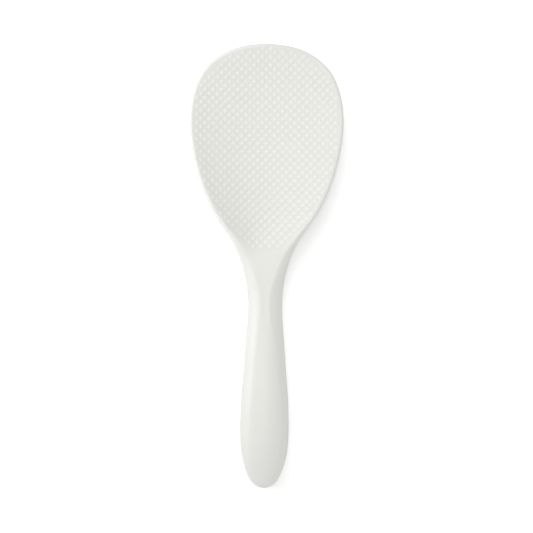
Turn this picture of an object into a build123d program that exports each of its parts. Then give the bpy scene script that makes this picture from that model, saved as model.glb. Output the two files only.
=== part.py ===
from build123d import *
from math import atan, cos, hypot, pi, radians, sin, sqrt, tan
import os

# A rice paddle lying face up on a table. The origin is on the table under the middle of its
# length, +Y points to the tip of the blade, +X to the right and +Z up. Lengths are in
# millimetres. A station is a distance along the paddle from the end of the handle.

# Plan view, from above
paddle_length = 200.0
swell_station = 28.0
swell_width = 21.9
neck_station = 82.0
neck_width = 15.3
widest_station = 166.0
blade_width = 69.4

# Side view, heights above the table
swell_top_height = 18.0
neck_top_height = 12.6
neck_end_station = 105.0
neck_end_height = 12.1
rim_start_station = 118.0
rim_start_height = 13.2
rim_widest_height = 13.8
tip_height = 15.8
floor_station = 146.0
floor_height = 8.2

# Blade
blade_thickness = 2.4
rim_radius = blade_thickness / 2

# Resting land, a flat under the handle, made by cutting off what dips below the table
land_dip = 0.95
land_end_station = 70.0
underside_start_station = 122.0

# Ridges that run from the rims down onto the neck and fade out on the handle
ridge_fade_station = 58.0
ridge_half_gap = 1.9
ridge_rise = 0.03
crease_fade_station = 96.0

# Handle shells
shell_wall = 2.2
shell_end_station = 92.0
cavity_start_station = 4.0
seam_drop = 0.8
lip_height = 1.2
lip_gap = 0.1

# Steel balance weight and its soft end pads
weight_start_station = 16.0
weight_length = 36.0
weight_diameter = 11.0
weight_height = 8.05
weight_gap = 0.1
pad_thickness = 2.0
pad_inset = 0.4
weight_chamfer = 0.6

# Ribs that carry and stop the weight, and pins that line up the shells
rib_thickness = 1.6
rib_gap = 0.25
cradle_count = 3
pin_stations = (66.0, 76.0)
pin_radius = 1.3
pin_gap = 0.1
pin_reach = 2.4
boss_radius = 2.8

# How far a cutting solid runs past what it cuts
overrun = 5.0

# How finely the curved forms are laid out
section_count = 45
core_ring_count = 11
line_point_count = 12

# Outline in plan, as shares of the way along and across each stretch of it
tail_shares = ((0.071, 0.430), (0.214, 0.665), (0.50, 0.905))
grip_shares = ((0.26, 0.142), (0.48, 0.44), (0.70, 0.70), (0.86, 0.90))
shoulder_shares = (
    (0.143, 0.037),
    (0.238, 0.113),
    (0.333, 0.234),
    (0.429, 0.429),
    (0.524, 0.621),
    (0.667, 0.819),
    (0.81, 0.939),
)
crown_shares = ((0.353, 0.047), (0.588, 0.141), (0.824, 0.363), (0.945, 0.61))

# Side view, in the same shares: from the neck down to the floor of the dish, the crest of the
# rim, from the floor up to the tip, the underside, and the widest line
fall_shares = (
    (0.19, 0.035),
    (0.34, 0.15),
    (0.41, 0.28),
    (0.47, 0.50),
    (0.53, 0.71),
    (0.60, 0.845),
    (0.72, 0.945),
    (0.86, 0.99),
)
rim_climb_shares = ((0.15, 0.38), (0.45, 0.78))
climb_shares = ((0.30, 0.07), (0.55, 0.25), (0.75, 0.50), (0.90, 0.78))
underside_shares = ((0.20, 0.03), (0.45, 0.27), (0.70, 0.68), (0.87, 0.91))
widest_line_shares = ((0.30, 0.14), (0.55, 0.42), (0.80, 0.80))

# Crest of the ridges in plan, from the neck to where the rim starts
ridge_shares = ((0.22, 0.05), (0.333, 0.13), (0.556, 0.31), (0.78, 0.62))

# How much of the swell's width its flat, bowed top takes
swell_flat_share = 0.45

forward, outward, inward = (1, 0), (0, 1), (0, -1)
free = (None, None)
halvings = 40
lean_rounds = 12
crown_angle = radians(12)
crease_angle = radians(15)
belly_angle = radians(35)
quarter_turn = pi / 2
third_share = 1 / 3


def stretch(start, end, shares):
    """Points between two ends, given as shares of the way along and across."""
    return [
        (start[0] + (end[0] - start[0]) * along, start[1] + (end[1] - start[1]) * across)
        for along, across in shares
    ]


def spread(start, end, count):
    """A number of evenly spaced values, with both ends."""
    return [start + (end - start) * number / (count - 1) for number in range(count)]


class Line:
    """A smooth line through points, whose curvature runs on through each point.

    It is a cubic spline over the distance along the straight runs between the points. Where a
    direction is given the line starts or ends in it, and elsewhere it ends without curvature."""

    def __init__(self, points, start_direction=free, end_direction=free):
        self.points = points
        self.distances = [0.0]
        for before, after in zip(points, points[1:]):
            run = hypot(after[0] - before[0], after[1] - before[1])
            self.distances.append(self.distances[-1] + run)
        self.length = self.distances[-1]
        self.slopes = [
            self.solve([point[axis] for point in points], start_direction[axis], end_direction[axis])
            for axis in (0, 1)
        ]

    def solve(self, values, first_slope, last_slope):
        """The slope at each point that makes the curvature run on, found from both ends."""
        runs = [after - before for before, after in zip(self.distances, self.distances[1:])]
        rises = [(after - before) / run for before, after, run in zip(values, values[1:], runs)]
        factors = [0.0 if first_slope is not None else 1 / 2]
        slopes = [first_slope if first_slope is not None else 3 / 2 * rises[0]]
        for number in range(1, len(runs)):
            left, right = runs[number], runs[number - 1]
            pivot = 2 * (left + right) - left * factors[-1]
            target = 3 * (left * rises[number - 1] + right * rises[number])
            slopes.append((target - left * slopes[-1]) / pivot)
            factors.append(right / pivot)
        if last_slope is None:
            last_slope = (3 * rises[-1] - slopes[-1]) / (2 - factors[-1])
        slopes.append(last_slope)
        for number in reversed(range(len(runs))):
            slopes[number] -= factors[number] * slopes[number + 1]
        return slopes

    def place(self, distance):
        """The point at a distance along the line, and the direction that the line has there."""
        starts = self.distances[:-1]
        number = max(index for index, start in enumerate(starts) if start <= distance)
        run = self.distances[number + 1] - starts[number]
        share = (distance - starts[number]) / run
        point, heading = [], []
        for axis in (0, 1):
            start, end = self.points[number][axis], self.points[number + 1][axis]
            leave, arrive = (slope * run for slope in self.slopes[axis][number : number + 2])
            square = 3 * (end - start) - 2 * leave - arrive
            cube = 2 * (start - end) + leave + arrive
            point.append(start + share * (leave + share * (square + share * cube)))
            heading.append((leave + share * (2 * square + 3 * share * cube)) / run)
        return point, heading

    def distance_at(self, station):
        """How far along the line a station lies, found by halving."""
        low, high = 0.0, self.length
        for _ in range(halvings):
            middle = (low + high) / 2
            if self.place(middle)[0][0] < station:
                low = middle
            else:
                high = middle
        return high

    def at(self, station):
        """The width or height at a station."""
        return self.place(self.distance_at(station))[0][1]


# Outline in plan: a half width at each station
tail = (0.0, 0.0)
swell = (swell_station, swell_width / 2)
neck = (neck_station, neck_width / 2)
widest = (widest_station, blade_width / 2)
tip = (paddle_length, 0.0)
outline = Line(
    [tail]
    + stretch(tail, swell, tail_shares)
    + [swell]
    + stretch(swell, neck, grip_shares)
    + [neck]
    + stretch(neck, widest, shoulder_shares)
    + [widest]
    + stretch(widest, tip, crown_shares)
    + [tip],
    outward,
    inward,
)

# Top of the middle, from the nose of the handle over the neck and dish to the lip at the tip
nose_height = (swell_top_height - land_dip) / 2
nose = (0.0, nose_height)
swell_top = (swell_station, swell_top_height)
neck_top = (neck_station, neck_top_height)
floor = (floor_station, floor_height)
lip_station = paddle_length - rim_radius
lip = (lip_station, tip_height)
top_line = Line(
    [nose]
    + stretch(nose, swell_top, tail_shares)
    + [swell_top]
    + stretch(swell_top, neck_top, grip_shares)
    + [neck_top]
    + stretch(neck_top, floor, fall_shares)
    + [floor]
    + stretch(floor, lip, climb_shares)
    + [lip],
    outward,
)

# Crest of the ridges and of the rim
rim_start = (rim_start_station, rim_start_height)
rim_widest = (widest_station, rim_widest_height)
neck_end = (neck_end_station, neck_end_height)
crest_line = Line(
    [swell_top]
    + stretch(swell_top, neck_top, grip_shares)
    + [neck_top, neck_end, rim_start]
    + stretch(rim_start, rim_widest, rim_climb_shares)
    + [rim_widest, lip]
)

# Underside and widest line. In the blade they follow the top and the crest at a steady distance,
# and the lines of the handle and neck run on through points of the blade to join it smoothly.
swell_bottom = (swell_station, -land_dip)
land_middle = ((swell_station + land_end_station) / 2, -land_dip)
land_end = (land_end_station, -land_dip)
blade_bottom = [
    (station, top_line.at(station) - blade_thickness)
    for station in spread(underside_start_station, lip_station, line_point_count)
]
bottom_line = Line(
    [nose]
    + stretch(nose, swell_bottom, tail_shares)
    + [swell_bottom, land_middle, land_end]
    + stretch(land_end, blade_bottom[0], underside_shares)
    + blade_bottom,
    inward,
)
swell_middle = (swell_station, nose_height)
neck_middle = (neck_station, (neck_top_height - land_dip) / 2)
rim_middle = [
    (station, crest_line.at(station) - rim_radius)
    for station in spread(rim_start_station, lip_station, line_point_count)
]
middle_line = Line(
    [nose, swell_middle, neck_middle] + stretch(neck_middle, rim_middle[0], widest_line_shares) + rim_middle
)


def ridge_points():
    """Crest of ridge and rim in plan: out from the neck, then inside the outline by the rim."""
    rim = []
    start = outline.distance_at(rim_start_station)
    for distance in spread(start, outline.length, line_point_count)[:-1]:
        point, heading = outline.place(distance)
        shift = rim_radius / hypot(*heading)
        rim.append((point[0] + heading[1] * shift, point[1] - heading[0] * shift))
    beside_neck = (neck_station, ridge_half_gap)
    ridge = [beside_neck] + stretch(beside_neck, rim[0], ridge_shares)
    return ridge + rim + [(lip_station, 0.0)]


ridge_line = Line(ridge_points(), forward, inward)


def ease(start, end, station):
    """A smooth share that goes from 0 at the start to 1 at the end."""
    share = min(max((station - start) / (end - start), 0.0), 1.0)
    return share * share * (3 - 2 * share)


def lean(corner_width, corner_height, run, rise, side):
    """How far round a corner the floor or the underside leaves it, so that it is a parabola.

    With no run between the two corners, they are one ellipse that is bowed in the middle."""
    if run <= 0:
        return side * belly_angle
    angle = 0.0
    for _ in range(lean_rounds):
        height = rise + side * corner_height * (1 - cos(angle))
        reach = run + side * corner_width * sin(angle)
        angle = atan(2 * height / reach * corner_width / corner_height)
    return angle


def ridge_share(station):
    """How far the ridges have grown: 0 on the handle, 1 from the neck on."""
    return ease(ridge_fade_station, neck_station, station)


def heights(station):
    """Heights of the top, of the crest beside it, of the widest line and of the underside."""
    to_tip = paddle_length - station
    if to_tip < rim_radius:
        middle = tip_height - rim_radius
        half = sqrt(2 * rim_radius * to_tip - to_tip**2)
        return middle + half, middle + half, middle, middle - half
    top, middle, bottom = top_line.at(station), middle_line.at(station), bottom_line.at(station)
    crest = top + ridge_rise * ridge_share(station)
    if station > neck_station:
        crest = max(crest_line.at(station), crest)
    if station > rim_start_station:
        middle = crest - rim_radius
    if station > underside_start_station:
        bottom = top - blade_thickness
    return top, crest, middle, bottom


def crest_place(station, half_width):
    """How far the crest of the ridge or rim lies from the middle line."""
    if station > lip_station:
        return 0.0
    if station > neck_station:
        return ridge_line.at(station)
    neck_flat_share = ridge_half_gap / (neck_width / 2)
    change = ease(swell_station, neck_station, station)
    return half_width * (swell_flat_share + (neck_flat_share - swell_flat_share) * change)


def section_corners(station):
    """Sizes of a cross-section: half width, heights, and the rounded corners above and below.

    Each corner is a quarter ellipse with a width, a height, the angle at which it starts and the
    one at which the curve beside it arrives. On the handle the top between the corners is bowed.
    On the neck it is flat and meets them at a crease. On the blade they are the rim."""
    half_width = outline.at(station)
    top, crest, middle, bottom = heights(station)
    crest_run = crest_place(station, half_width)
    ridged = ridge_share(station)
    blade_share = ease(land_end_station, rim_start_station, station)
    crease = crease_angle * ridged * (1 - ease(crease_fade_station, rim_start_station, station))
    top_corner_width = (half_width - crest_run) / (1 - sin(crease))
    bottom_corner_width = half_width - crest_run * blade_share
    rim_height = min(rim_radius, middle - bottom)
    bottom_corner_height = middle - bottom + (rim_height - middle + bottom) * blade_share

    crown = crown_angle * (1 - ridged)
    bow_run = crest_run + top_corner_width * sin(crown)
    bow = tan(crown) * bow_run / top_corner_width / 2 - (1 - cos(crown))
    top_corner_height = (crest - middle) / (cos(crease) + bow)
    wall_angle = lean(top_corner_width, top_corner_height, crest_run, crest - top, -1)

    bottom_run = half_width - bottom_corner_width
    bottom_rise = middle - bottom_corner_height - bottom
    under_angle = lean(bottom_corner_width, bottom_corner_height, bottom_run, bottom_rise, 1)
    bottom_angle = belly_angle + (under_angle - belly_angle) * blade_share
    top_angle = wall_angle * ridged - crown
    return (
        (half_width, middle, top, bottom),
        (top_corner_width, top_corner_height, top_angle - crease, top_angle),
        (bottom_corner_width, bottom_corner_height, bottom_angle, bottom_angle),
    )


def fullness(angle):
    """Handle length of a Bezier curve that follows an arc, as a share of the arc's radius."""
    return 4 / 3 * tan(angle / 4)


def half_section(station):
    """Bezier points of the right half of a cross-section, from the middle of the top down."""
    (half_width, middle, top, bottom), upper, lower = section_corners(station)
    corner_width, corner_height, angle, top_angle = upper
    edge_x = half_width - corner_width * (1 + sin(angle))
    edge_z = middle + corner_height * cos(angle)
    slope = corner_height / corner_width * tan(top_angle)
    pull = fullness(quarter_turn + angle)
    floor_curve = (
        (0, top),
        (edge_x * third_share, top),
        (edge_x * (1 - third_share), edge_z - edge_x * third_share * slope),
        (edge_x, edge_z),
    )
    rim_curve = (
        (edge_x, edge_z),
        (edge_x + pull * corner_width * cos(angle), edge_z + pull * corner_height * sin(angle)),
        (half_width, middle + pull * corner_height),
        (half_width, middle),
    )
    corner_width, corner_height, angle, under_angle = lower
    edge_x = half_width - corner_width * (1 - sin(angle))
    edge_z = middle - corner_height * cos(angle)
    slope = corner_height / corner_width * tan(under_angle)
    pull = fullness(quarter_turn - angle)
    side_curve = (
        (half_width, middle),
        (half_width, middle - pull * corner_height),
        (edge_x + pull * corner_width * cos(angle), edge_z + pull * corner_height * sin(angle)),
        (edge_x, edge_z),
    )
    under_curve = (
        (edge_x, edge_z),
        (edge_x * (1 - third_share), edge_z - edge_x * third_share * slope),
        (edge_x * third_share, bottom),
        (0, bottom),
    )
    return floor_curve, rim_curve, side_curve, under_curve


def section(station):
    """The closed cross-section at a station, as a wire of eight curves."""
    y = station - paddle_length / 2
    right = [[(x, y, z) for x, z in curve] for curve in half_section(station)]
    left = [[(-x, y, z) for x, z in reversed(curve)] for curve in reversed(half_section(station))]
    return Wire([Edge.make_bezier(*curve) for curve in right + left])


def block(low, high):
    """A box between two corners."""
    size = [top - bottom for bottom, top in zip(low, high)]
    return Pos(*low) * Box(*size, align=(Align.MIN, Align.MIN, Align.MIN))


def outside():
    """The whole outer form, lofted from tail to tip, with the resting land cut flat."""
    shares = [(1 - cos(angle)) / 2 for angle in spread(0, pi, section_count + 2)[1:-1]]
    stations = [outline.place(outline.length * share)[0][0] for share in shares]
    form = Solid.make_loft([section(station) for station in stations])
    reach = paddle_length / 2 + overrun
    below_table = block((-reach, -reach, -swell_top_height), (reach, reach, 0))
    return form - below_table


def handle_core(inset):
    """The inside of the handle, at a steady distance in from its surface."""
    first = cavity_start_station - shell_wall + inset
    last = shell_end_station - inset
    rings = []
    for share in spread(0, 1, core_ring_count):
        station = first + (last - first) * share**2
        top, _, _, bottom = heights(station)
        bottom = max(bottom, 0)
        origin = (0, station - paddle_length / 2, (top + bottom) / 2)
        plane = Plane(origin=origin, x_dir=(1, 0, 0), z_dir=(0, -1, 0))
        rings.append(plane * Ellipse(outline.at(station) - inset, (top - bottom) / 2 - inset))
    return Part() + loft(rings)


def seam_height(station):
    """The shells part a little under the widest line, where the seam doesn't show from above."""
    return heights(station)[2] - seam_drop


def below_seam(rise):
    """All the space under the seam and up to the end of the back shell, raised by an amount."""
    seam = [
        (station - paddle_length / 2, seam_height(max(station, 0)) + rise)
        for station in spread(-overrun, shell_end_station, line_point_count)
    ]
    depth = -swell_top_height
    under = Polyline(seam[-1], (seam[-1][0], depth), (seam[0][0], depth), seam[0])
    face = make_face(Plane.YZ * (Spline(*seam) + under))
    return extrude(face, amount=swell_width, both=True)


def across_slab(station):
    """A slab across the handle, one rib thick, that starts at a station."""
    y = station - paddle_length / 2
    top = swell_top_height + overrun
    return block((-swell_width, y, -overrun), (swell_width, y + rib_thickness, top))


def upright(station, radius, low, high):
    """An upright round pin on the middle line, between two heights."""
    return Pos(0, station - paddle_length / 2, low) * Cylinder(
        radius, high - low, align=(Align.CENTER, Align.CENTER, Align.MIN)
    )


def lying(start, length, radius):
    """A round bar that lies along the handle at the height of the weight."""
    place = Pos(0, start - paddle_length / 2, weight_height) * Rot(X=-90)
    return place * Cylinder(radius, length, align=(Align.CENTER, Align.CENTER, Align.MIN))


weight_radius = weight_diameter / 2
weight_end_station = weight_start_station + weight_length
pad_radius = weight_radius - pad_inset
cradle_stations = [
    weight_start_station + (weight_length - rib_thickness) * (count + 1) / (cradle_count + 1)
    for count in range(cradle_count)
]
stop_stations = [
    weight_start_station - pad_thickness - rib_thickness,
    weight_end_station + pad_thickness,
]

outer_form = outside()
cavity = handle_core(shell_wall)
lap_core = handle_core(shell_wall / 2)
lap_core_clear = handle_core(shell_wall / 2 - lip_gap)
under_seam = below_seam(0)
under_lip = below_seam(lip_height)
under_lip_clear = below_seam(lip_height + lip_gap)
weight_room = lying(weight_start_station - overrun, weight_length + 2 * overrun, weight_radius + weight_gap)


def ribs(part_of_core):
    """Cradle ribs that hold the weight and stop ribs beyond its end pads, cut to fit a shell."""
    cradles = [across_slab(station) & part_of_core - weight_room for station in cradle_stations]
    stops = [across_slab(station) & part_of_core for station in stop_stations]
    return cradles + stops


def handle_back_shell():
    """Lower shell of the handle, with the raised lip, ribs, and bosses for the pins."""
    shell = (outer_form & under_seam) - cavity
    shell += (lap_core - cavity) & (under_lip - under_seam)
    shell += ribs(lap_core & below_seam(-rib_gap))
    for station in pin_stations:
        seam = seam_height(station)
        boss = upright(station, boss_radius, 0, seam - rib_gap) & lap_core
        socket = upright(station, pin_radius + pin_gap, seam - pin_reach - rib_gap, seam + overrun)
        shell = shell + boss - socket
    return shell


def paddle_body():
    """Blade, neck and upper shell of the handle in one piece, with its ribs and pins."""
    body = outer_form - under_seam - cavity
    body -= lap_core_clear & under_lip_clear
    body += ribs(lap_core - below_seam(lip_height + rib_gap))
    for station in pin_stations:
        body += upright(station, pin_radius, seam_height(station) - pin_reach, neck_top_height)
    return body


def balance_weight():
    """A round steel bar with its end edges broken."""
    bar = lying(weight_start_station, weight_length, weight_radius)
    return chamfer(bar.edges().filter_by(GeomType.CIRCLE), weight_chamfer)


pieces = {
    "paddle_body": paddle_body(),
    "handle_back_shell": handle_back_shell(),
    "balance_weight": balance_weight(),
    "weight_pad_tail": lying(weight_start_station - pad_thickness, pad_thickness, pad_radius),
    "weight_pad_neck": lying(weight_end_station, pad_thickness, pad_radius),
}

os.makedirs("parts", exist_ok=True)
for name, piece in pieces.items():
    export_step(piece, f"parts/{name}.step")
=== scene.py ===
from math import pi, radians

import bmesh
import bpy
import numpy as np
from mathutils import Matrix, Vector


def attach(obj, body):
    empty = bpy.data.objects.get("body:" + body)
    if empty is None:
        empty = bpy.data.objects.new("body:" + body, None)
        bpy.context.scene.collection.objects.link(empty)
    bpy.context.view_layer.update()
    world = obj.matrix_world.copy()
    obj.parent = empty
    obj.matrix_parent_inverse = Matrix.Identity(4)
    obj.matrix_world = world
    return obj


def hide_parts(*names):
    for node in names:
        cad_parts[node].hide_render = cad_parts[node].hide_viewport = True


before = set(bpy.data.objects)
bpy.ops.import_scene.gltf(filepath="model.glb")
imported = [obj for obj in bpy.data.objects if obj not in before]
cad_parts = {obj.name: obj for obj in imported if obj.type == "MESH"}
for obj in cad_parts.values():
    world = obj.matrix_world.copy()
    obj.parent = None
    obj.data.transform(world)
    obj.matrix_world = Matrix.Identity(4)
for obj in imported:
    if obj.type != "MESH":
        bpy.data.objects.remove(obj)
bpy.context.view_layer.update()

# Paddle body: blade, neck and the upper half of the handle, injection moulded in one piece from
# warm white polypropylene. Its skin is drawn here from cross-sections, with the raised dots in
# the dish. The handle half is a hollow shell that stands on the back shell at a lapped seam.

# Sizes in millimetres. A station is a distance along the paddle from the end of the handle.
mm = 0.001
paddle_length = 200.0
swell_station = 28.0
swell_width = 21.9
neck_station = 82.0
neck_width = 15.3
widest_station = 166.0
blade_width = 69.4
swell_top_height = 18.0
neck_top_height = 12.6
neck_end_station = 105.0
neck_end_height = 12.1
rim_start_station = 118.0
rim_start_height = 13.2
rim_widest_height = 13.8
tip_height = 15.8
floor_station = 146.0
floor_height = 8.2
blade_thickness = 2.4
rim_radius = blade_thickness / 2
land_dip = 0.95
land_end_station = 70.0
underside_start_station = 122.0
ridge_fade_station = 58.0
ridge_half_gap = 1.9
ridge_rise = 0.03
crease_fade_station = 96.0
shell_wall = 2.2
shell_end_station = 92.0
cavity_start_station = 4.0
seam_drop = 0.8
seam_edge = 0.12

# Shares of the way along and across each stretch of the outline and of the side view
tail_shares = ((0.071, 0.430), (0.214, 0.665), (0.50, 0.905))
grip_shares = ((0.26, 0.142), (0.48, 0.44), (0.70, 0.70), (0.86, 0.90))
shoulder_shares = (
    (0.143, 0.037),
    (0.238, 0.113),
    (0.333, 0.234),
    (0.429, 0.429),
    (0.524, 0.621),
    (0.667, 0.819),
    (0.81, 0.939),
)
crown_shares = ((0.353, 0.047), (0.588, 0.141), (0.824, 0.363), (0.945, 0.61))
fall_shares = (
    (0.19, 0.035),
    (0.34, 0.15),
    (0.41, 0.28),
    (0.47, 0.50),
    (0.53, 0.71),
    (0.60, 0.845),
    (0.72, 0.945),
    (0.86, 0.99),
)
rim_climb_shares = ((0.15, 0.38), (0.45, 0.78))
climb_shares = ((0.30, 0.07), (0.55, 0.25), (0.75, 0.50), (0.90, 0.78))
underside_shares = ((0.20, 0.03), (0.45, 0.27), (0.70, 0.68), (0.87, 0.91))
widest_line_shares = ((0.30, 0.14), (0.55, 0.42), (0.80, 0.80))
ridge_shares = ((0.22, 0.05), (0.333, 0.13), (0.556, 0.31), (0.78, 0.62))
swell_flat_share = 0.45

# Raised dots, in staggered rows
dot_column_gap = 1.83
dot_row_gap = 1.85
dot_row_start = 148.0
dot_radius = 1.22
dot_height = 0.16
dot_flat_share = 0.3
# Where the ring of painted shade round each dot starts, is darkest and ends, as shares of the dot radius
dot_shade_start_share, dot_shade_middle_share, dot_shade_end_share = 0.7, 1.25, 2.0
dot_border = 2.0
dot_border_growth = 1.9
dot_border_station = 127.0
dot_end_station = 107.7
dot_end_bend = 0.032

line_samples = 8000
line_point_count = 12
lean_rounds = 12
smallest = 0.001
crown_angle = radians(12)
crease_angle = radians(15)
belly_angle = radians(35)
quarter_turn = pi / 2
third_share = 1 / 3
free = (None, None)
forward, outward, inward = (1, 0), (0, 1), (0, -1)


def stretch(start, end, shares):
    """Points between two ends, given as shares of the way along and across."""
    return [
        (start[0] + (end[0] - start[0]) * along, start[1] + (end[1] - start[1]) * across)
        for along, across in shares
    ]


class Line:
    """A smooth line through points: a cubic spline over the distance between the points."""

    def __init__(self, points, start_direction=free, end_direction=free):
        points = np.array(points, dtype=float)
        runs = np.hypot(*np.diff(points, axis=0).T)
        distances = np.concatenate(([0.0], np.cumsum(runs)))
        self.length = distances[-1]
        slopes = np.array(
            [self.solve(points[:, axis], runs, start_direction[axis], end_direction[axis]) for axis in (0, 1)]
        ).T
        self.spots = np.linspace(0, self.length, line_samples)
        number = np.clip(np.searchsorted(distances, self.spots, side="right") - 1, 0, len(runs) - 1)
        run = runs[number][:, None]
        share = (self.spots - distances[number])[:, None] / run
        start, end = points[number], points[number + 1]
        leave, arrive = slopes[number] * run, slopes[number + 1] * run
        square = 3 * (end - start) - 2 * leave - arrive
        cube = 2 * (start - end) + leave + arrive
        self.points = start + share * (leave + share * (square + share * cube))
        self.headings = (leave + share * (2 * square + 3 * share * cube)) / run

    @staticmethod
    def solve(values, runs, first_slope, last_slope):
        """The slope at each point that makes the curvature run on."""
        count = len(values)
        matrix = np.zeros((count, count))
        target = np.zeros(count)
        rises = np.diff(values) / runs
        matrix[0, 0], target[0] = 1.0, first_slope or 0.0
        if first_slope is None:
            matrix[0, 1], target[0] = 1 / 2, 3 / 2 * rises[0]
        for number in range(1, count - 1):
            left, right = runs[number], runs[number - 1]
            matrix[number, number - 1 : number + 2] = left, 2 * (left + right), right
            target[number] = 3 * (left * rises[number - 1] + right * rises[number])
        matrix[-1, -1], target[-1] = 1.0, last_slope or 0.0
        if last_slope is None:
            matrix[-1, -2], target[-1] = 1 / 2, 3 / 2 * rises[-1]
        return np.linalg.solve(matrix, target)

    def at(self, station):
        """The width or height at a station."""
        return np.interp(station, self.points[:, 0], self.points[:, 1])


nose_height = (swell_top_height - land_dip) / 2
lip_station = paddle_length - rim_radius
tail, tip = (0.0, 0.0), (paddle_length, 0.0)
swell, neck = (swell_station, swell_width / 2), (neck_station, neck_width / 2)
widest = (widest_station, blade_width / 2)
outline = Line(
    [tail, *stretch(tail, swell, tail_shares), swell, *stretch(swell, neck, grip_shares), neck]
    + [*stretch(neck, widest, shoulder_shares), widest, *stretch(widest, tip, crown_shares), tip],
    outward,
    inward,
)
nose, lip = (0.0, nose_height), (lip_station, tip_height)
swell_top, neck_top = (swell_station, swell_top_height), (neck_station, neck_top_height)
floor_point = (floor_station, floor_height)
top_line = Line(
    [nose, *stretch(nose, swell_top, tail_shares), swell_top, *stretch(swell_top, neck_top, grip_shares)]
    + [neck_top, *stretch(neck_top, floor_point, fall_shares), floor_point]
    + [*stretch(floor_point, lip, climb_shares), lip],
    outward,
)
neck_end, rim_start = (neck_end_station, neck_end_height), (rim_start_station, rim_start_height)
rim_widest = (widest_station, rim_widest_height)
crest_line = Line(
    [swell_top, *stretch(swell_top, neck_top, grip_shares), neck_top, neck_end, rim_start]
    + [*stretch(rim_start, rim_widest, rim_climb_shares), rim_widest, lip]
)
swell_bottom, land_end = (swell_station, -land_dip), (land_end_station, -land_dip)
land_middle = ((swell_station + land_end_station) / 2, -land_dip)
blade_bottom = [
    (station, top_line.at(station) - blade_thickness)
    for station in np.linspace(underside_start_station, lip_station, line_point_count)
]
bottom_line = Line(
    [nose, *stretch(nose, swell_bottom, tail_shares), swell_bottom, land_middle, land_end]
    + [*stretch(land_end, blade_bottom[0], underside_shares), *blade_bottom],
    inward,
)
rim_middle = [
    (station, crest_line.at(station) - rim_radius)
    for station in np.linspace(rim_start_station, lip_station, line_point_count)
]
neck_middle = (neck_station, (neck_top_height - land_dip) / 2)
middle_line = Line(
    [nose, (swell_station, nose_height), neck_middle]
    + [*stretch(neck_middle, rim_middle[0], widest_line_shares), *rim_middle]
)


def ridge_points():
    """Crest of ridge and rim in plan: out from the neck, then inside the outline by the rim."""
    start = np.interp(rim_start_station, outline.points[:, 0], outline.spots)
    spots = np.linspace(start, outline.length, line_point_count)[:-1]
    point = np.array([np.interp(spots, outline.spots, outline.points[:, axis]) for axis in (0, 1)])
    heading = np.array([np.interp(spots, outline.spots, outline.headings[:, axis]) for axis in (0, 1)])
    shift = rim_radius / np.hypot(*heading)
    rim = list(zip(point[0] + heading[1] * shift, point[1] - heading[0] * shift))
    beside_neck = (neck_station, ridge_half_gap)
    ridge = [beside_neck, *stretch(beside_neck, rim[0], ridge_shares)]
    return [*ridge, *rim, (lip_station, 0.0)]


ridge_line = Line(ridge_points(), forward, inward)


def ease(start, end, station):
    """A smooth share that goes from 0 at the start to 1 at the end."""
    share = np.clip((station - start) / (end - start), 0.0, 1.0)
    return share * share * (3 - 2 * share)


def lean(corner_width, corner_height, run, rise, side):
    """How far round a corner the floor or the underside leaves it, so that it is a parabola."""
    angle = np.zeros_like(corner_width)
    for _ in range(lean_rounds):
        height = rise + side * corner_height * (1 - np.cos(angle))
        reach = run + side * corner_width * np.sin(angle)
        angle = np.arctan(2 * height / np.maximum(reach, smallest) * corner_width / corner_height)
    return np.where(run > 0, angle, side * belly_angle)


def ridge_share(station):
    """How far the ridges have grown: 0 on the handle, 1 from the neck on."""
    return ease(ridge_fade_station, neck_station, station)


def heights(station):
    """Heights of the top, of the crest beside it, of the widest line and of the underside."""
    top, middle, bottom = top_line.at(station), middle_line.at(station), bottom_line.at(station)
    crest = top + ridge_rise * ridge_share(station)
    crest = np.where(station > neck_station, np.maximum(crest_line.at(station), crest), crest)
    middle = np.where(station > rim_start_station, crest - rim_radius, middle)
    bottom = np.where(station > underside_start_station, top - blade_thickness, bottom)
    to_tip = np.clip(paddle_length - station, 0, rim_radius)
    half = np.sqrt(2 * rim_radius * to_tip - to_tip**2)
    lip_middle = tip_height - rim_radius
    at_lip = station > lip_station
    top, crest = np.where(at_lip, lip_middle + half, top), np.where(at_lip, lip_middle + half, crest)
    return top, crest, np.where(at_lip, lip_middle, middle), np.where(at_lip, lip_middle - half, bottom)


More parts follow.
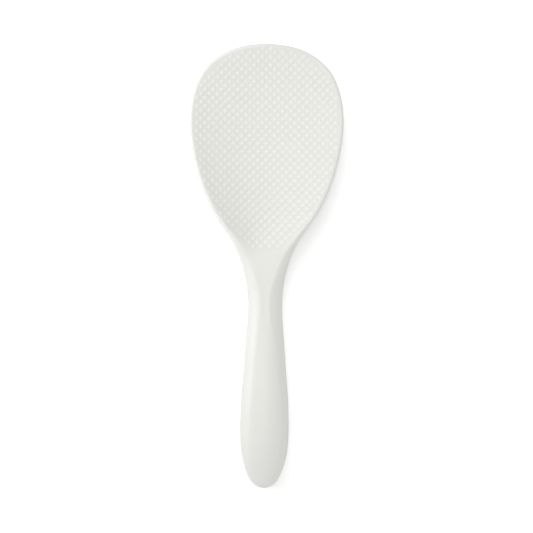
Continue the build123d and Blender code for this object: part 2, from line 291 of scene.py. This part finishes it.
def quarter_curves(station):
    """Bezier points of the right half of each cross-section: floor, rim, side and underside."""
    half_width = outline.at(station)
    top, crest, middle, bottom = heights(station)
    neck_flat_share = ridge_half_gap / (neck_width / 2)
    change = ease(swell_station, neck_station, station)
    crest_run = half_width * (swell_flat_share + (neck_flat_share - swell_flat_share) * change)
    crest_run = np.where(station > neck_station, ridge_line.at(station), crest_run)
    crest_run = np.where(station < lip_station, crest_run, 0.0)
    ridged, blade_share = ridge_share(station), ease(land_end_station, rim_start_station, station)
    crease = crease_angle * ridged * (1 - ease(crease_fade_station, rim_start_station, station))
    upper_width = (half_width - crest_run) / (1 - np.sin(crease))
    lower_width = half_width - crest_run * blade_share
    rim_height = np.minimum(rim_radius, middle - bottom)
    lower_height = middle - bottom + (rim_height - middle + bottom) * blade_share
    crown = crown_angle * (1 - ridged)
    bow_run = crest_run + upper_width * np.sin(crown)
    bow = np.tan(crown) * bow_run / upper_width / 2 - (1 - np.cos(crown))
    upper_height = (crest - middle) / (np.cos(crease) + bow)
    top_angle = ridged * lean(upper_width, upper_height, crest_run, crest - top, -1) - crown
    upper_angle = top_angle - crease
    under_angle = lean(lower_width, lower_height, half_width - lower_width, middle - lower_height - bottom, 1)
    lower_angle = belly_angle + (under_angle - belly_angle) * blade_share

    zero = np.zeros_like(station)
    edge_x = half_width - upper_width * (1 + np.sin(upper_angle))
    edge_z = middle + upper_height * np.cos(upper_angle)
    slope = upper_height / upper_width * np.tan(top_angle)
    pull = 4 / 3 * np.tan((quarter_turn + upper_angle) / 4)
    rim_x = edge_x + pull * upper_width * np.cos(upper_angle)
    rim_z = edge_z + pull * upper_height * np.sin(upper_angle)
    floor_z = edge_z - edge_x * third_share * slope
    floor = [zero, top, edge_x * third_share, top, edge_x * (1 - third_share), floor_z, edge_x, edge_z]
    rim = [edge_x, edge_z, rim_x, rim_z, half_width, middle + pull * upper_height, half_width, middle]
    edge_x = half_width - lower_width * (1 - np.sin(lower_angle))
    edge_z = middle - lower_height * np.cos(lower_angle)
    slope = lower_height / lower_width * np.tan(lower_angle)
    pull = 4 / 3 * np.tan((quarter_turn - lower_angle) / 4)
    side_x = edge_x + pull * lower_width * np.cos(lower_angle)
    side_z = edge_z + pull * lower_height * np.sin(lower_angle)
    under_z = edge_z - edge_x * third_share * slope
    side = [half_width, middle, half_width, middle - pull * lower_height, side_x, side_z, edge_x, edge_z]
    under = [edge_x, edge_z, edge_x * (1 - third_share), under_z, edge_x * third_share, bottom, zero, bottom]
    return [np.stack(curve, axis=-1).reshape(-1, 4, 2) for curve in (floor, rim, side, under)]


def along(curve, shares):
    """Points at shares of the way along each Bezier curve."""
    share = np.asarray(shares)[..., None]
    first, second, third, fourth = (curve[:, None, number] for number in range(4))
    rest = 1 - share
    return first * rest**3 + 3 * second * rest**2 * share + 3 * third * rest * share**2 + fourth * share**3


# How finely the skin is laid out
floor_count = 170
rim_count = 22
seam_count = 6
lower_count = 60
lower_side_count = 20
flange_count = 4
seam_room_share = 0.75
tail_step = 0.25
handle_step = 0.5
blade_step = 0.2
lip_count = 14
edge_count = 800
blade_start_station = 104.0
nose_end_station = 10.0
halvings = 30


def ring_stations():
    """Stations of the cross-sections: close together at the ends and in the blade."""
    nose_share = 1 - np.cos(np.linspace(0, quarter_turn, int(nose_end_station / tail_step)))
    nose = smallest + (nose_end_station - smallest) * nose_share
    handle = np.arange(nose_end_station, blade_start_station, handle_step)[1:]
    blade = np.arange(blade_start_station, lip_station, blade_step)
    lip = paddle_length - rim_radius + rim_radius * np.sin(np.linspace(0, quarter_turn, lip_count + 1))
    lip[-1] = paddle_length - smallest
    return np.concatenate((nose, handle, blade, lip))


def dots(x, station):
    """How far the raised dots stand out in the dish, and the painted light and shade of the dots there:
    lighter on the tops, darker in the gaps.
    """
    row = np.round((station - dot_row_start) / dot_row_gap)
    dome, shade = np.zeros_like(x), np.zeros_like(x)
    edge = outline.points[:: line_samples // edge_count]
    for row_step in (-1, 0, 1):
        near_row = row + row_step
        column = 2 * np.round((x / dot_column_gap - near_row % 2) / 2) + near_row % 2
        centre_x, centre_s = column * dot_column_gap, near_row * dot_row_gap + dot_row_start
        apart = np.hypot(x - centre_x, station - centre_s) / dot_radius
        spots, back = np.unique(
            np.stack((np.abs(centre_x).ravel(), centre_s.ravel())), axis=1, return_inverse=True
        )
        to_edge = np.hypot(spots[0][:, None] - edge[:, 1], spots[1][:, None] - edge[:, 0]).min(axis=1)
        growth = dot_border_growth * (1 - ease(rim_start_station - dot_radius, dot_border_station, spots[1]))
        shown = (to_edge > dot_border + growth) & (spots[0] < outline.at(spots[1]))
        shown &= spots[1] > dot_end_station + dot_end_bend * spots[0] ** 2
        shown = shown[back.ravel()].reshape(x.shape)
        dome = np.maximum(dome, shown * (1 - ease(dot_flat_share, 1.0, apart)))
        # Painted shade: a ring of darker colour in the gaps round each dot, where shade falls between the
        # dots
        ring = ease(dot_shade_start_share, dot_shade_middle_share, apart)
        ring = ring * (1 - ease(dot_shade_middle_share, dot_shade_end_share, apart))
        shade = np.maximum(shade, shown * ring)
    # The second value is painted light and shade for the colour: 1 on the dot tops, down to -1 in the shaded
    # gaps
    return dome * dot_height, dome - shade * (1 - dome)


def seam_share(side, middle, drop):
    """Where on its side curve each section crosses the seam."""
    low, high = np.zeros(len(middle)), np.ones(len(middle))
    for _ in range(halvings):
        guess = (low + high) / 2
        above = along(side, guess[:, None])[:, 0, 1] > middle - drop
        low, high = np.where(above, guess, low), np.where(above, high, guess)
    return high


def body_rings():
    """Half cross-sections of the body, from the middle of the top round to the inside."""
    station = ring_stations()
    jumps = np.array([cavity_start_station, shell_end_station - shell_wall, shell_end_station])
    station = np.sort(np.concatenate((station, jumps, jumps)))
    floor, rim, side, under = quarter_curves(station)
    floor = along(floor, np.linspace(0, 1, floor_count))
    rim = along(rim, np.linspace(0, 1, rim_count)[1:])
    top, _, middle, bottom = heights(station)
    drop = np.minimum(seam_drop, (middle - bottom) * seam_room_share)
    share = seam_share(side, middle, drop)
    upper_side = along(side, share[:, None] * np.linspace(0, 1, seam_count)[1:])
    lower_share = share[:, None] + (1 - share[:, None]) * np.linspace(0, 1, lower_side_count)[1:]
    under_share = np.linspace(0, 1, lower_count - lower_share.shape[1] + 1)[1:]
    lower = np.concatenate((along(side, lower_share), along(under, under_share)), axis=1)

    seam = upper_side[:, -1]
    flat_shares = np.linspace(0, 1, lower_count + 1)[1:]
    flat = np.stack((seam[:, :1] * (1 - flat_shares), seam[:, 1:] + 0 * flat_shares), axis=-1)
    low = np.maximum(bottom, 0.0)
    centre = (top + low) / 2
    reach_x, reach_z = outline.at(station) - shell_wall, (top - low) / 2 - shell_wall
    start = np.arcsin(np.clip((seam[:, 1] - centre) / np.maximum(reach_z, smallest), -1, 1))
    turn = start[:, None] + (quarter_turn - start[:, None]) * np.linspace(0, 1, lower_count - flange_count)
    arc_x, arc_z = reach_x[:, None] * np.cos(turn), centre[:, None] + reach_z[:, None] * np.sin(turn)
    arc = np.stack((arc_x, arc_z), axis=-1)
    flange_share = np.linspace(0, 1, flange_count + 1)[1:, None]
    flange = seam[:, None] + (arc[:, :1] - seam[:, None]) * flange_share
    hollow = np.concatenate((flange, arc), axis=1)

    number = np.arange(len(station))
    first = [number[station == jump][0] for jump in jumps]
    in_hollow = (number > first[0]) & (number <= first[1])
    in_blade = number > first[2]
    inner = np.where(in_hollow[:, None, None], hollow, np.where(in_blade[:, None, None], lower, flat))
    edge_height = np.where(in_blade, 0.0, seam_edge)
    edge_in = upper_side[:, -1].copy()
    edge_in[:, 0] -= np.minimum(edge_height, edge_in[:, 0] / 2)
    upper_side[:, -2, 1] = np.where(in_blade, upper_side[:, -2, 1], seam[:, 1] + seam_edge * drop / seam_drop)
    upper_side[:, -1] = edge_in
    half = np.concatenate((floor, rim, upper_side, inner), axis=1)
    half[:, :, 1] = np.maximum(half[:, :, 1], 0.0)
    across = half[:, :floor_count, 0]
    # light holds the painted light and shade of the dots, not their height
    raised, light = dots(across, np.broadcast_to(station[:, None], across.shape))
    half[:, :floor_count, 1] += raised
    painted_dot_shading = np.zeros(half.shape[:2])
    painted_dot_shading[:, :floor_count] = light
    return station, half, painted_dot_shading


def whole(half, side):
    """Half cross-sections joined to their mirror image on the left, as closed rings."""
    return np.concatenate((half, half[:, 1:-1][:, ::-1] * side), axis=1)


def skin(name, station, half, painted_dot_shading):
    """A closed mesh object through the cross-sections, which also carries the painted light and shade of the
    dots.
    """
    loop = whole(half, (-1, 1))
    rings, count = loop.shape[:2]
    y = np.broadcast_to(station[:, None] - paddle_length / 2, (rings, count))
    points = np.stack((loop[..., 0], y, loop[..., 1]), axis=-1).reshape(-1, 3) * mm
    here = np.arange(rings * count).reshape(rings, count)
    beside = np.roll(here, -1, axis=1)
    faces = np.stack((here[:-1], beside[:-1], beside[1:], here[1:]), axis=-1).reshape(-1, 4).tolist()
    mesh = bpy.data.meshes.new(name)
    mesh.from_pydata(points.tolist(), [], [*faces, here[0][::-1].tolist(), here[-1].tolist()])
    # The painted light and shade of the dots, stored on the points for the material's colour
    shade = mesh.attributes.new("painted_dot_shading", "FLOAT", "POINT")
    shade.data.foreach_set("value", whole(painted_dot_shading, 1).ravel().astype(np.float32))
    piece = bpy.data.objects.new(name, mesh)
    bpy.context.scene.collection.objects.link(piece)
    return piece


smooth_angle = radians(35)


def smooth(piece):
    """Smooth shading, with edges kept sharp where the surface turns a corner."""
    piece.data.shade_smooth()
    piece.data.set_sharp_from_angle(angle=smooth_angle)


grain_size, grain_detail = 0.4 * mm, 3.0
patch_size, patch_detail = 30 * mm, 2.0


def grain_group():
    """Fine moulded grain: a height for the bump and a slow, faint unevenness."""
    group = bpy.data.node_groups.new("moulded grain", "ShaderNodeTree")
    for label, value in (("Grain Size", grain_size), ("Patch Size", patch_size)):
        socket = group.interface.new_socket(label, in_out="INPUT", socket_type="NodeSocketFloat")
        socket.default_value = value
    for label in ("Height", "Patches"):
        group.interface.new_socket(label, in_out="OUTPUT", socket_type="NodeSocketFloat")
    enter = group.nodes.new("NodeGroupInput")
    leave = group.nodes.new("NodeGroupOutput")
    place = group.nodes.new("ShaderNodeTexCoord")
    for size_label, out_label, detail in (
        ("Grain Size", "Height", grain_detail),
        ("Patch Size", "Patches", patch_detail),
    ):
        scale = group.nodes.new("ShaderNodeMath")
        scale.operation = "DIVIDE"
        scale.inputs[0].default_value = 1.0
        group.links.new(enter.outputs[size_label], scale.inputs[1])
        noise = group.nodes.new("ShaderNodeTexNoise")
        noise.inputs["Detail"].default_value = detail
        group.links.new(place.outputs["Object"], noise.inputs["Vector"])
        group.links.new(scale.outputs[0], noise.inputs["Scale"])
        group.links.new(noise.outputs["Fac"], leave.inputs[out_label])
    return group


moulded_grain = grain_group()


def grained_material(name, colour, patch_colour, roughness, patch_roughness, size, depth):
    """A plain material with grain of a size and depth, and faintly uneven colour and gloss."""
    material = bpy.data.materials.new(name)
    material.use_nodes = True
    nodes, links = material.node_tree.nodes, material.node_tree.links
    shader = nodes["Principled BSDF"]
    grain = nodes.new("ShaderNodeGroup")
    grain.node_tree = moulded_grain
    grain.inputs["Grain Size"].default_value = size
    tint = nodes.new("ShaderNodeMix")
    tint.data_type = "RGBA"
    tint.inputs["A"].default_value = (*colour, 1)
    tint.inputs["B"].default_value = (*patch_colour, 1)
    links.new(grain.outputs["Patches"], tint.inputs["Factor"])
    links.new(tint.outputs["Result"], shader.inputs["Base Color"])
    gloss = nodes.new("ShaderNodeMapRange")
    gloss.inputs["To Min"].default_value = roughness
    gloss.inputs["To Max"].default_value = patch_roughness
    links.new(grain.outputs["Patches"], gloss.inputs["Value"])
    links.new(gloss.outputs["Result"], shader.inputs["Roughness"])
    bump = nodes.new("ShaderNodeBump")
    bump.inputs["Distance"].default_value = depth
    links.new(grain.outputs["Height"], bump.inputs["Height"])
    links.new(bump.outputs["Normal"], shader.inputs["Normal"])
    return material


white_colour = (0.735, 0.735, 0.70)
white_patch_colour = (0.75, 0.75, 0.718)
white_roughness, white_patch_roughness = 0.42, 0.48
white_grain_size, white_grain_depth = 0.35 * mm, 0.004 * mm
polypropylene_ior = 1.49
white_plastic = grained_material(
    "white polypropylene",
    white_colour,
    white_patch_colour,
    white_roughness,
    white_patch_roughness,
    white_grain_size,
    white_grain_depth,
)
white_shader = white_plastic.node_tree.nodes["Principled BSDF"]
white_shader.inputs["IOR"].default_value = polypropylene_ior

# Painted light and shade on the dots: the base colour is made a little lighter on the dot tops and a little
# darker in the gaps between them, where shade falls
painted_dot_shading_contrast = 0.04
white_nodes, white_links = white_plastic.node_tree.nodes, white_plastic.node_tree.links
# Painted light and shade: the dots' attribute scales the base colour up on the tops and down in the gaps
painted_dot_shading = white_nodes.new("ShaderNodeAttribute")
painted_dot_shading.attribute_name = "painted_dot_shading"
painted_dot_shading_range = white_nodes.new("ShaderNodeMapRange")
painted_dot_shading_range.inputs["From Min"].default_value = -1.0
painted_dot_shading_range.inputs["To Min"].default_value = 1 - painted_dot_shading_contrast
painted_dot_shading_range.inputs["To Max"].default_value = 1 + painted_dot_shading_contrast
painted_dot_shading_tint = white_nodes.new("ShaderNodeMix")
painted_dot_shading_tint.data_type = "RGBA"
painted_dot_shading_tint.blend_type = "MULTIPLY"
painted_dot_shading_tint.inputs["Factor"].default_value = 1.0
white_links.new(painted_dot_shading.outputs["Fac"], painted_dot_shading_range.inputs["Value"])
white_links.new(white_shader.inputs["Base Color"].links[0].from_socket, painted_dot_shading_tint.inputs["A"])
white_links.new(painted_dot_shading_range.outputs["Result"], painted_dot_shading_tint.inputs["B"])
white_links.new(painted_dot_shading_tint.outputs["Result"], white_shader.inputs["Base Color"])

body = skin("paddle_body_moulding", *body_rings())
smooth(body)
body.data.materials.append(white_plastic)
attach(body, "root")
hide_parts("paddle_body")

# Handle back shell: the lower half of the handle, a second white moulding with ribs that carry
# the weight. It is welded to the body along the lapped seam, and its flat land rests on the table.
shell_edge = 0.1 * mm
edge_segments = 2
weld_reach = 0.001 * mm


def finished_copy(node, name, edge):
    """A copy of a modelled node with smooth shading and its sharp edges finely rounded."""
    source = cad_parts[node]
    piece = source.copy()
    piece.data = source.data.copy()
    piece.name = name
    piece.parent = None
    piece.matrix_world = source.matrix_world
    bpy.context.scene.collection.objects.link(piece)
    form = bmesh.new()
    form.from_mesh(piece.data)
    bmesh.ops.remove_doubles(form, verts=form.verts, dist=weld_reach)
    form.to_mesh(piece.data)
    form.free()
    if piece.data.has_custom_normals:
        with bpy.context.temp_override(object=piece, active_object=piece):
            bpy.ops.mesh.customdata_custom_splitnormals_clear()
    smooth(piece)
    rounding = piece.modifiers.new("rounded edges", "BEVEL")
    rounding.width = edge
    rounding.segments = edge_segments
    rounding.limit_method = "ANGLE"
    rounding.angle_limit = smooth_angle
    rounding.use_clamp_overlap = True
    piece.data.materials.clear()
    return piece


shell = finished_copy("handle_back_shell", "handle_back_shell_moulding", shell_edge)
shell.data.materials.append(white_plastic)
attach(shell, "root")
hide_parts("handle_back_shell")

# Balance weight: a turned steel bar that lies in the ribs inside the handle and brings the
# balance point over the resting land.
weight_edge = 0.08 * mm
steel_colour = (0.56, 0.56, 0.55)
steel_patch_colour = (0.50, 0.50, 0.49)
steel_roughness, steel_patch_roughness = 0.32, 0.42
steel_grain_size, steel_grain_depth = 0.2 * mm, 0.003 * mm
steel = grained_material(
    "turned steel",
    steel_colour,
    steel_patch_colour,
    steel_roughness,
    steel_patch_roughness,
    steel_grain_size,
    steel_grain_depth,
)
steel.node_tree.nodes["Principled BSDF"].inputs["Metallic"].default_value = 1.0
weight = finished_copy("balance_weight", "balance_weight_bar", weight_edge)
weight.data.materials.append(steel)
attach(weight, "root")
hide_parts("balance_weight")

# Weight pads: two soft silicone discs, punched from sheet, that wedge the bar between its stop
# ribs so that it can't rattle.
pad_edge = 0.15 * mm
silicone_colour = (0.36, 0.37, 0.37)
silicone_patch_colour = (0.40, 0.41, 0.41)
silicone_roughness, silicone_patch_roughness = 0.6, 0.7
silicone_grain_size, silicone_grain_depth = 0.5 * mm, 0.01 * mm
silicone = grained_material(
    "grey silicone",
    silicone_colour,
    silicone_patch_colour,
    silicone_roughness,
    silicone_patch_roughness,
    silicone_grain_size,
    silicone_grain_depth,
)
for pad_name in ("weight_pad_tail", "weight_pad_neck"):
    pad = finished_copy(pad_name, f"{pad_name}_disc", pad_edge)
    pad.data.materials.append(silicone)
    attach(pad, "root")
    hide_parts(pad_name)

# Floor: a white sheet under the paddle. The camera sees it a little lighter than the paddle does,
# and lighter still far from the paddle, so that it is white up to the horizon but for the
# paddle's soft shadow.
floor_reach = 24.0
floor_drop = 0.02 * mm
floor_colour = (0.9, 0.9, 0.9)
floor_seen_colour = (1.0, 1.0, 1.0)
floor_roughness = 0.9
no_lift = (0, 0, 0)
floor_near_lift = (0.18, 0.18, 0.18)
floor_far_lift = (0.6, 0.6, 0.6)
floor_near_radius = 0.2
floor_far_radius = 0.5
bpy.ops.mesh.primitive_plane_add(size=floor_reach, location=(0, 0, -floor_drop))
floor_sheet = bpy.context.object
floor_sheet.name = "floor"
floor_material = bpy.data.materials.new("white floor")
floor_material.use_nodes = True
floor_nodes, floor_links = floor_material.node_tree.nodes, floor_material.node_tree.links
floor_shader = floor_nodes["Principled BSDF"]
floor_shader.inputs["Roughness"].default_value = floor_roughness
floor_shader.inputs["Specular IOR Level"].default_value = 0.0
floor_shader.inputs["Emission Strength"].default_value = 1.0
seen_by = floor_nodes.new("ShaderNodeLightPath")
for socket_name, plain, seen in (
    ("Base Color", floor_colour, floor_seen_colour),
    ("Emission Color", no_lift, floor_near_lift),
):
    choice = floor_nodes.new("ShaderNodeMix")
    choice.data_type = "RGBA"
    choice.inputs["A"].default_value = (*plain, 1)
    choice.inputs["B"].default_value = (*seen, 1)
    floor_links.new(seen_by.outputs["Is Camera Ray"], choice.inputs["Factor"])
    floor_links.new(choice.outputs["Result"], floor_shader.inputs[socket_name])
floor_place = floor_nodes.new("ShaderNodeTexCoord")
floor_distance = floor_nodes.new("ShaderNodeVectorMath")
floor_distance.operation = "LENGTH"
far_share = floor_nodes.new("ShaderNodeMapRange")
far_share.inputs["From Min"].default_value = floor_near_radius
far_share.inputs["From Max"].default_value = floor_far_radius
far_lift = floor_nodes.new("ShaderNodeMix")
far_lift.data_type = "RGBA"
far_lift.inputs["A"].default_value = (*floor_near_lift, 1)
far_lift.inputs["B"].default_value = (*floor_far_lift, 1)
floor_links.new(floor_place.outputs["Object"], floor_distance.inputs[0])
floor_links.new(floor_distance.outputs["Value"], far_share.inputs["Value"])
floor_links.new(far_share.outputs["Result"], far_lift.inputs["Factor"])
floor_links.new(far_lift.outputs["Result"], choice.inputs["B"])
floor_sheet.data.materials.append(floor_material)

# Lights: a white room all round, a soft box low and close on the left, a larger one high beyond
# the blade's tip, weaker ones on the right and low beyond the handle's end, and a small lamp
# overhead.
room_colour = (1.0, 1.0, 1.0)
room_strength = 0.476
paddle_middle = (0, 0, 0)
left_place, left_aim, left_power = (-0.30, 0.05, 0.15), (0, 0.02, 0), 0.552
upper_place, upper_power = (0, 0.493, 0.63), 1.773
right_place, right_power = (0.693, 0, 0.4), 0.755
low_place, low_power = (0, -0.783, 0.166), 1.389
overhead_place, overhead_aim, overhead_power = (0, 0.1, 1.3), (0, 0.1, 0), 1.639
near_box_size = (0.2, 0.2)
far_box_size = (0.4, 0.4)
overhead_size = (0.195, 0.195)
world = bpy.data.worlds.new("white room")
bpy.context.scene.world = world
world.use_nodes = True
world.node_tree.nodes["Background"].inputs["Color"].default_value = (*room_colour, 1)
world.node_tree.nodes["Background"].inputs["Strength"].default_value = room_strength


def soft_box(name, place, aim, size, power):
    """A rectangular light at a place, aimed at a point, with its size across and along."""
    light = bpy.data.lights.new(name, "AREA")
    light.shape = "RECTANGLE"
    light.size, light.size_y = size
    light.energy = power
    lamp = bpy.data.objects.new(name, light)
    lamp.location = place
    lamp.rotation_euler = (Vector(aim) - Vector(place)).to_track_quat("-Z", "Y").to_euler()
    bpy.context.scene.collection.objects.link(lamp)


soft_box("left soft box", left_place, left_aim, near_box_size, left_power)
soft_box("upper soft box", upper_place, paddle_middle, far_box_size, upper_power)
soft_box("right fill", right_place, paddle_middle, far_box_size, right_power)
soft_box("low fill", low_place, paddle_middle, far_box_size, low_power)
soft_box("overhead lamp", overhead_place, overhead_aim, overhead_size, overhead_power)

# Camera: straight above the paddle with a long lens, turned a little, as in the photograph.
camera_height = 1.2
camera_level = 12.6 * mm
frame_width = 239.85 * mm
sensor_width = 36.0
camera_shift = 0.46 * mm
camera_turn = radians(0.393)
camera_data = bpy.data.cameras.new("camera")
camera_data.sensor_width = sensor_width
camera_data.lens = sensor_width * camera_height / frame_width
camera = bpy.data.objects.new("camera", camera_data)
camera.location = (camera_shift, 0, camera_height + camera_level)
camera.rotation_euler = (0, 0, camera_turn)
bpy.context.scene.collection.objects.link(camera)
bpy.context.scene.camera = camera
bpy.context.scene.view_settings.view_transform = "Standard"
